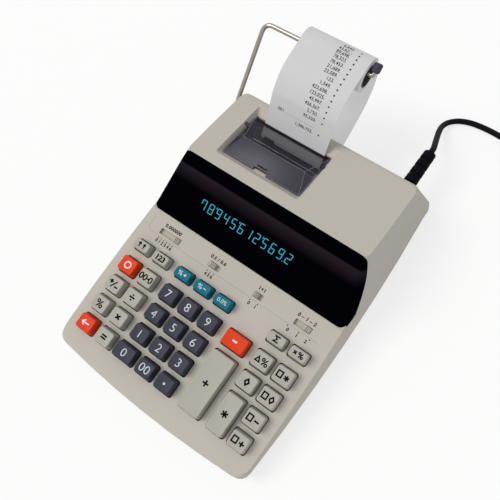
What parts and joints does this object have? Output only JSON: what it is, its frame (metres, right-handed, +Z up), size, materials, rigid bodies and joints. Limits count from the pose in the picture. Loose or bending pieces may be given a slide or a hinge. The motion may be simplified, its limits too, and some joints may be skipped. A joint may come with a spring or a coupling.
{
  "type": "desktop printing calculator",
  "caption": "Desktop printing calculator with a sprung keypad, slide switches, a wrap-round display visor, a smoked printer cover, a paper roll on a bent wire and a mains cord.",
  "frame": {"origin": "on the table under the middle of the machine with its paper and without its mains cord", "axes": "+X to the user's right, +Y away from the user towards the paper roll, +Z up"},
  "size_m": [0.2872, 0.4467, 0.1116],
  "materials": {
    "case_cream": "satin",
    "key_cream": "satin",
    "key_dark": "satin",
    "key_orange": "satin",
    "key_teal": "satin",
    "slider_bone": "satin",
    "visor_black": "gloss",
    "tube_glass": "gloss",
    "cover_smoke": "gloss",
    "frame_dark": "matte",
    "mat_rubber": "matte",
    "roller_rubber": "matte",
    "board_green": "matte",
    "core_steel": "satin",
    "wire_steel": "gloss",
    "retainer_dark": "matte",
    "paper_white": "matte",
    "cord_black": "satin"
  },
  "bodies": {
    "case": {"upper_housing": "case_cream", "lower_housing": "case_cream", "display_visor": "visor_black", "display_tube": "tube_glass", "key_mat": "mat_rubber", "circuit_board": "board_green", "transformer": "core_steel", "printer_frame": "frame_dark", "paper_wire": "wire_steel", "roll_retainer": "retainer_dark", "paper_tape": "paper_white", "strain_relief": "cord_black", "cord_run": "cord_black", "cord_coil": "cord_black", "mains_plug": "cord_black"},
    "cover": {"printer_cover": "cover_smoke"},
    "roller": {"feed_roller": "roller_rubber"},
    "roll": {"paper_roll": "paper_white"},
    "carriage": {"print_carriage": "frame_dark"},
    "decimal_switch": {"decimal_slider": "slider_bone"},
    "rounding_switch": {"rounding_slider": "slider_bone"},
    "total_switch": {"total_slider": "slider_bone"},
    "power_switch": {"power_slider": "slider_bone"},
    "button_7": {"key_7": "key_dark"},
    "button_8": {"key_8": "key_dark"},
    "button_9": {"key_9": "key_dark"},
    "button_4": {"key_4": "key_dark"},
    "button_5": {"key_5": "key_dark"},
    "button_6": {"key_6": "key_dark"},
    "button_1": {"key_1": "key_dark"},
    "button_2": {"key_2": "key_dark"},
    "button_3": {"key_3": "key_dark"},
    "button_0": {"key_0": "key_dark"},
    "button_00": {"key_00": "key_dark"},
    "button_point": {"key_point": "key_dark"},
    "button_clear": {"key_clear": "key_orange"},
    "button_sign": {"key_sign": "key_cream"},
    "button_percent": {"key_percent": "key_cream"},
    "button_clear_entry": {"key_clear_entry": "key_orange"},
    "button_zeros": {"key_zeros": "key_cream"},
    "button_divide": {"key_divide": "key_cream"},
    "button_multiply": {"key_multiply": "key_cream"},
    "button_equals": {"key_equals": "key_cream"},
    "button_minus": {"key_minus": "key_orange"},
    "button_plus": {"key_plus": "key_cream"},
    "button_delta_percent": {"key_delta_percent": "key_cream"},
    "button_diamond": {"key_diamond": "key_cream"},
    "button_total": {"key_total": "key_cream"},
    "button_memory_total": {"key_memory_total": "key_cream"},
    "button_memory_subtotal": {"key_memory_subtotal": "key_cream"},
    "button_memory_minus": {"key_memory_minus": "key_cream"},
    "button_memory_plus": {"key_memory_plus": "key_cream"},
    "button_feed": {"key_feed": "key_cream"},
    "button_print": {"key_print": "key_cream"},
    "button_tax_plus": {"key_tax_plus": "key_teal"},
    "button_tax_minus": {"key_tax_minus": "key_teal"},
    "button_rate": {"key_rate": "key_teal"},
    "button_grand_total": {"key_grand_total": "key_cream"},
    "button_mark_up": {"key_mark_up": "key_cream"}
  },
  "joints": [
    {"name": "cover_hinge", "type": "hinge", "parent": "case", "child": "cover", "pos_m": [-0.0237, 0.07337, 0.06611], "axis": [1, 0, 0], "range_deg": [-80, 0]},
    {"name": "roller_spin", "type": "hinge", "parent": "case", "child": "roller", "pos_m": [-0.0224, 0.0862, 0.0495], "axis": [1, 0, 0], "continuous": true},
    {"name": "roll_spin", "type": "hinge", "parent": "case", "child": "roll", "pos_m": [-0.0224, 0.14085, 0.0975], "axis": [1, 0, 0], "continuous": true},
    {"name": "carriage_slide", "type": "slide", "parent": "case", "child": "carriage", "axis": [1, 0, 0], "range_m": [-0.003, 0.04]},
    {"name": "decimal_slide", "type": "slide", "parent": "case", "child": "decimal_switch", "axis": [1, 0, 0], "range_m": [-0.0137, 0]},
    {"name": "rounding_slide", "type": "slide", "parent": "case", "child": "rounding_switch", "axis": [1, 0, 0], "range_m": [0, 0.0042]},
    {"name": "total_slide", "type": "slide", "parent": "case", "child": "total_switch", "axis": [1, 0, 0], "range_m": [0, 0.0032]},
    {"name": "power_slide", "type": "slide", "parent": "case", "child": "power_switch", "axis": [1, 0, 0], "range_m": [-0.008, 0]},
    {"name": "press_7", "type": "slide", "parent": "case", "child": "button_7", "axis": [0, -0.1132, 0.9936], "range_m": [-0.003, 0], "stiffness_N_per_m": 250, "springref_m": 0.001},
    {"name": "press_8", "type": "slide", "parent": "case", "child": "button_8", "axis": [0, -0.1132, 0.9936], "range_m": [-0.003, 0], "stiffness_N_per_m": 250, "springref_m": 0.001},
    {"name": "press_9", "type": "slide", "parent": "case", "child": "button_9", "axis": [0, -0.1132, 0.9936], "range_m": [-0.003, 0], "stiffness_N_per_m": 250, "springref_m": 0.001},
    {"name": "press_4", "type": "slide", "parent": "case", "child": "button_4", "axis": [0, -0.1132, 0.9936], "range_m": [-0.003, 0], "stiffness_N_per_m": 250, "springref_m": 0.001},
    {"name": "press_5", "type": "slide", "parent": "case", "child": "button_5", "axis": [0, -0.1132, 0.9936], "range_m": [-0.003, 0], "stiffness_N_per_m": 250, "springref_m": 0.001},
    {"name": "press_6", "type": "slide", "parent": "case", "child": "button_6", "axis": [0, -0.1132, 0.9936], "range_m": [-0.003, 0], "stiffness_N_per_m": 250, "springref_m": 0.001},
    {"name": "press_1", "type": "slide", "parent": "case", "child": "button_1", "axis": [0, -0.1132, 0.9936], "range_m": [-0.003, 0], "stiffness_N_per_m": 250, "springref_m": 0.001},
    {"name": "press_2", "type": "slide", "parent": "case", "child": "button_2", "axis": [0, -0.1132, 0.9936], "range_m": [-0.003, 0], "stiffness_N_per_m": 250, "springref_m": 0.001},
    {"name": "press_3", "type": "slide", "parent": "case", "child": "button_3", "axis": [0, -0.1132, 0.9936], "range_m": [-0.003, 0], "stiffness_N_per_m": 250, "springref_m": 0.001},
    {"name": "press_0", "type": "slide", "parent": "case", "child": "button_0", "axis": [0, -0.1132, 0.9936], "range_m": [-0.003, 0], "stiffness_N_per_m": 250, "springref_m": 0.001},
    {"name": "press_00", "type": "slide", "parent": "case", "child": "button_00", "axis": [0, -0.1132, 0.9936], "range_m": [-0.003, 0], "stiffness_N_per_m": 250, "springref_m": 0.001},
    {"name": "press_point", "type": "slide", "parent": "case", "child": "button_point", "axis": [0, -0.1132, 0.9936], "range_m": [-0.003, 0], "stiffness_N_per_m": 250, "springref_m": 0.001},
    {"name": "press_clear", "type": "slide", "parent": "case", "child": "button_clear", "axis": [0, -0.1132, 0.9936], "range_m": [-0.003, 0], "stiffness_N_per_m": 250, "springref_m": 0.001},
    {"name": "press_sign", "type": "slide", "parent": "case", "child": "button_sign", "axis": [0, -0.1132, 0.9936], "range_m": [-0.003, 0], "stiffness_N_per_m": 250, "springref_m": 0.001},
    {"name": "press_percent", "type": "slide", "parent": "case", "child": "button_percent", "axis": [0, -0.1132, 0.9936], "range_m": [-0.003, 0], "stiffness_N_per_m": 250, "springref_m": 0.001},
    {"name": "press_clear_entry", "type": "slide", "parent": "case", "child": "button_clear_entry", "axis": [0, -0.1132, 0.9936], "range_m": [-0.003, 0], "stiffness_N_per_m": 250, "springref_m": 0.001},
    {"name": "press_zeros", "type": "slide", "parent": "case", "child": "button_zeros", "axis": [0, -0.1132, 0.9936], "range_m": [-0.003, 0], "stiffness_N_per_m": 250, "springref_m": 0.001},
    {"name": "press_divide", "type": "slide", "parent": "case", "child": "button_divide", "axis": [0, -0.1132, 0.9936], "range_m": [-0.003, 0], "stiffness_N_per_m": 250, "springref_m": 0.001},
    {"name": "press_multiply", "type": "slide", "parent": "case", "child": "button_multiply", "axis": [0, -0.1132, 0.9936], "range_m": [-0.003, 0], "stiffness_N_per_m": 250, "springref_m": 0.001},
    {"name": "press_equals", "type": "slide", "parent": "case", "child": "button_equals", "axis": [0, -0.1132, 0.9936], "range_m": [-0.003, 0], "stiffness_N_per_m": 250, "springref_m": 0.001},
    {"name": "press_minus", "type": "slide", "parent": "case", "child": "button_minus", "axis": [0, -0.1132, 0.9936], "range_m": [-0.003, 0], "stiffness_N_per_m": 250, "springref_m": 0.001},
    {"name": "press_plus", "type": "slide", "parent": "case", "child": "button_plus", "axis": [0, -0.1132, 0.9936], "range_m": [-0.003, 0], "stiffness_N_per_m": 250, "springref_m": 0.001},
    {"name": "press_delta_percent", "type": "slide", "parent": "case", "child": "button_delta_percent", "axis": [0, -0.1132, 0.9936], "range_m": [-0.003, 0], "stiffness_N_per_m": 250, "springref_m": 0.001},
    {"name": "press_diamond", "type": "slide", "parent": "case", "child": "button_diamond", "axis": [0, -0.1132, 0.9936], "range_m": [-0.003, 0], "stiffness_N_per_m": 250, "springref_m": 0.001},
    {"name": "press_total", "type": "slide", "parent": "case", "child": "button_total", "axis": [0, -0.1132, 0.9936], "range_m": [-0.003, 0], "stiffness_N_per_m": 250, "springref_m": 0.001},
    {"name": "press_memory_total", "type": "slide", "parent": "case", "child": "button_memory_total", "axis": [0, -0.1132, 0.9936], "range_m": [-0.003, 0], "stiffness_N_per_m": 250, "springref_m": 0.001},
    {"name": "press_memory_subtotal", "type": "slide", "parent": "case", "child": "button_memory_subtotal", "axis": [0, -0.1132, 0.9936], "range_m": [-0.003, 0], "stiffness_N_per_m": 250, "springref_m": 0.001},
    {"name": "press_memory_minus", "type": "slide", "parent": "case", "child": "button_memory_minus", "axis": [0, -0.1132, 0.9936], "range_m": [-0.003, 0], "stiffness_N_per_m": 250, "springref_m": 0.001},
    {"name": "press_memory_plus", "type": "slide", "parent": "case", "child": "button_memory_plus", "axis": [0, -0.1132, 0.9936], "range_m": [-0.003, 0], "stiffness_N_per_m": 250, "springref_m": 0.001},
    {"name": "press_feed", "type": "slide", "parent": "case", "child": "button_feed", "axis": [0, -0.1132, 0.9936], "range_m": [-0.003, 0], "stiffness_N_per_m": 250, "springref_m": 0.001},
    {"name": "press_print", "type": "slide", "parent": "case", "child": "button_print", "axis": [0, -0.1132, 0.9936], "range_m": [-0.003, 0], "stiffness_N_per_m": 250, "springref_m": 0.001},
    {"name": "press_tax_plus", "type": "slide", "parent": "case", "child": "button_tax_plus", "axis": [0, -0.1132, 0.9936], "range_m": [-0.003, 0], "stiffness_N_per_m": 250, "springref_m": 0.001},
    {"name": "press_tax_minus", "type": "slide", "parent": "case", "child": "button_tax_minus", "axis": [0, -0.1132, 0.9936], "range_m": [-0.003, 0], "stiffness_N_per_m": 250, "springref_m": 0.001},
    {"name": "press_rate", "type": "slide", "parent": "case", "child": "button_rate", "axis": [0, -0.1132, 0.9936], "range_m": [-0.003, 0], "stiffness_N_per_m": 250, "springref_m": 0.001},
    {"name": "press_grand_total", "type": "slide", "parent": "case", "child": "button_grand_total", "axis": [0, -0.1132, 0.9936], "range_m": [-0.003, 0], "stiffness_N_per_m": 250, "springref_m": 0.001},
    {"name": "press_mark_up", "type": "slide", "parent": "case", "child": "button_mark_up", "axis": [0, -0.1132, 0.9936], "range_m": [-0.003, 0], "stiffness_N_per_m": 250, "springref_m": 0.001}
  ],
  "couplings": [
    {"joint": "roller_spin", "follows": "roll_spin", "ratio": 1.82}
  ]
}
